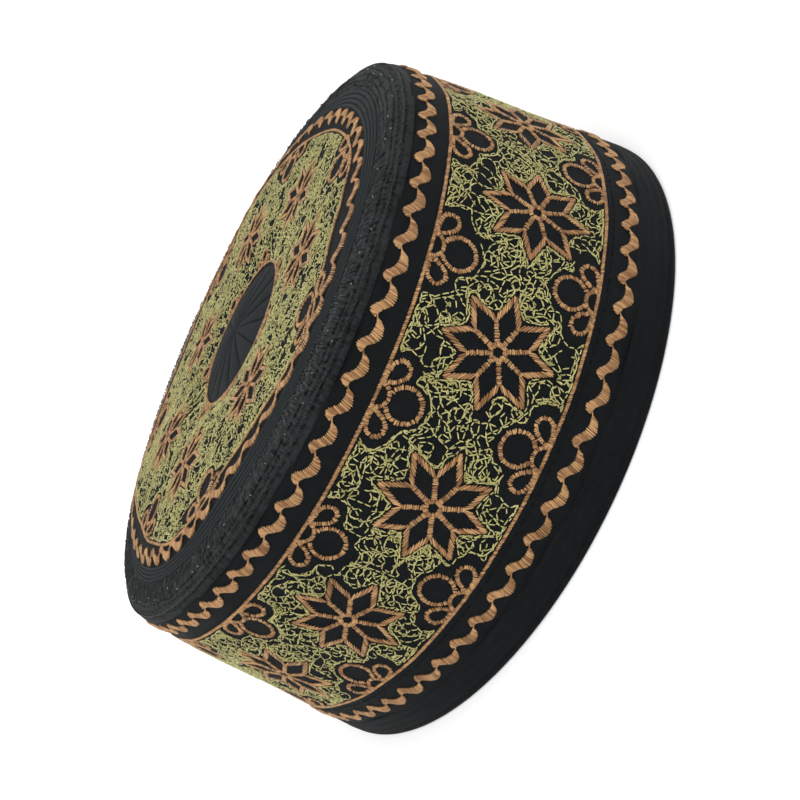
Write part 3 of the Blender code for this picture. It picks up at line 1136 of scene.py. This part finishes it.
def quilting():
    """Rows of stitches in the grooves round the crown, and one along each pleat of the disc."""
    sets = []
    for row in range(QUILT_ROWS):
        path = crown_path(quilt_line, row)
        run = run_of(path)
        count = round(run[-1] / (2.6 * MM))
        stops = np.arange(count) * run[-1] / count
        ends = between(on_path(stops, run, path), on_path(stops + 2.0 * MM, run, path))
        sets.append((*on_top(ends), *QUILT_THREAD))
    for angle in turns(PLEATS):
        stops = np.arange(3 * MM, DISC_RADIUS - 1.5 * MM, 2.2 * MM)
        way = np.array([(1 - OVAL) * cos(angle), (1 + OVAL) * sin(angle)])
        ends = between(stops[:, None] * way, (stops[:, None] + 1.7 * MM) * way)
        sets.append((*on_top(ends), *PLEAT_THREAD))
    sew("quilting", sets, dark_thread, 2)


def on_seam(flat):
    """Places and normals of (turn, distance) pairs over the seam's binding."""
    turn = even(flat[..., 0])
    distance = flat[..., 1]
    share = np.clip((distance - SEAM_START) / (GATHER_END - SEAM_START), 0, 1)
    past = np.clip((distance - GATHER_END) / (SEAM_END - GATHER_END), 0, 1)
    lift = 0.2 * MM * np.sin(pi * share) + 0.15 * MM * np.sin(pi * past) + 0.05 * MM
    return place(distance, turn, lift), normal(distance, turn)


def overlock():
    """Uneven stitches across the gathers in two rows, beads beside them, and a few pale grey knots whose
    colour paints glints.
    """
    sets = []
    for first, span in ((76.9 * MM, 2.6 * MM), (79.6 * MM, 2.9 * MM)):
        count = 560
        turn = 2 * pi * (np.arange(count) + rng.uniform(-0.35, 0.35, count)) / count
        turn = turn[rng.random(count) < 0.9 - 0.75 * towards_x(turn)]
        count = len(turn)
        start = first + 0.6 * MM * rng.normal(size=count)
        reach = span + rng.uniform(-1.2 * MM, 0.4 * MM, count)
        lean = rng.normal(scale=0.5 * MM / RIM_RADIUS, size=count)
        low = side_by_side(turn, start)
        high = side_by_side(turn + lean, start + reach)
        sets.append((*on_seam(between(low, high)), *OVERLOCK_THREAD))
    sew("overlock", sets, black_thread, 2)
    beads = round_row(85.7 * MM, 0.48 * MM, 0.2 * MM)
    beads = beads + rng.normal(scale=(0.05 * MM / RIM_RADIUS, 0.09 * MM), size=beads.shape)
    sew("seam_beads", [(*on_seam(beads), *BEAD_THREAD)], black_thread, 2,
        rng.uniform(0.3, 1.4, len(beads)))
    # Pale grey knots about 8 mm apart stand in for glints, as painted highlights
    knots = round_row(82.5 * MM, 0.36 * MM, 7.6 * MM)
    knots = knots + rng.normal(scale=(2.2 * MM / RIM_RADIUS, 0.8 * MM), size=(len(knots), 1, 2))
    sew("painted_glint_knots", [(*on_seam(knots), *KNOT_THREAD)], painted_glint_knot, 2)


topstitching()
quilting()
overlock()


# Floor, lights and camera


def floor():
    """A pale floor that curves up all round: flat to its bend, then a quarter circle and a wall."""
    flat, bend, wall = 1.6, 1.0, 1.2
    angle = np.linspace(0, pi / 2, 16)
    radius = np.concatenate([[0.0, flat / 2], flat + bend * np.sin(angle), [flat + bend]])
    height = np.concatenate([[0.0, 0.0], bend * (1 - np.cos(angle)), [bend + wall]])
    turn = turns(96)
    across = radius[1:, None]
    points = side_by_side(across * np.cos(turn), across * np.sin(turn), height[1:, None])
    points = np.concatenate([[[0, 0, 0]], points.reshape(-1, 3)])
    fan, quads = disc_faces(len(radius) - 1, len(turn))
    mesh = bpy.data.meshes.new("floor")
    mesh.from_pydata(points.tolist(), [], quads.tolist() + fan.tolist())
    mesh.shade_smooth()
    look = Look("pale_floor", Roughness=0.9, Base_Color=(0.93, 0.93, 0.93, 1),
                Emission_Color=(1, 1, 1, 1), Emission_Strength=0.16)
    mesh.materials.append(look.material)
    stage = bpy.data.objects.new("floor", mesh)
    bpy.context.collection.objects.link(stage)


def area_light(name, spot, aim, size, power):
    """A round soft light at a spot, turned to its aim."""
    lamp = bpy.data.lights.new(name, "AREA")
    lamp.shape = "DISK"
    lamp.size = size
    lamp.energy = power
    light = bpy.data.objects.new(name, lamp)
    light.location = spot
    light.rotation_euler = (Vector(aim) - Vector(spot)).to_track_quat("-Z", "Y").to_euler()
    bpy.context.collection.objects.link(light)


def camera():
    """The photograph's camera: its place, its aim, and its roll about the line of sight."""
    spot = Vector((-0.1047, -0.3404, 0.1461))
    aim = Vector((0.00026, -0.00008, 0.02183))
    roll = radians(-66.38)
    back = (spot - aim).normalized()
    right = Vector((0, 0, 1)).cross(back).normalized()
    up = back.cross(right)
    across = cos(roll) * right + sin(roll) * up
    above = -sin(roll) * right + cos(roll) * up
    spot = spot - 0.0007 * across + 0.0006 * above + 0.0015 * back
    lens = bpy.data.cameras.new("camera")
    lens.lens = 57.88
    lens.sensor_width = 36
    lens.clip_start = 0.01
    view = bpy.data.objects.new("camera", lens)
    view.matrix_world = Matrix((
        (across.x, above.x, back.x, spot.x), (across.y, above.y, back.y, spot.y),
        (across.z, above.z, back.z, spot.z), (0, 0, 0, 1)))
    bpy.context.collection.objects.link(view)
    bpy.context.scene.camera = view


floor()
area_light("key", (-0.9, -0.9, 1.5), (0, 0, 0.03), 1.2, 14)
area_light("fill", (1.1, -0.7, 0.9), (0, 0, 0.03), 1.0, 4)
area_light("top", (0.1, 0.3, 1.9), (0, 0, 0.03), 1.4, 7)
world = bpy.data.worlds.new("studio")
world.use_nodes = True
world.node_tree.nodes["Background"].inputs["Color"].default_value = (1, 1, 1, 1)
world.node_tree.nodes["Background"].inputs["Strength"].default_value = 0.62
bpy.context.scene.world = world
bpy.context.scene.view_settings.view_transform = "Standard"
camera()
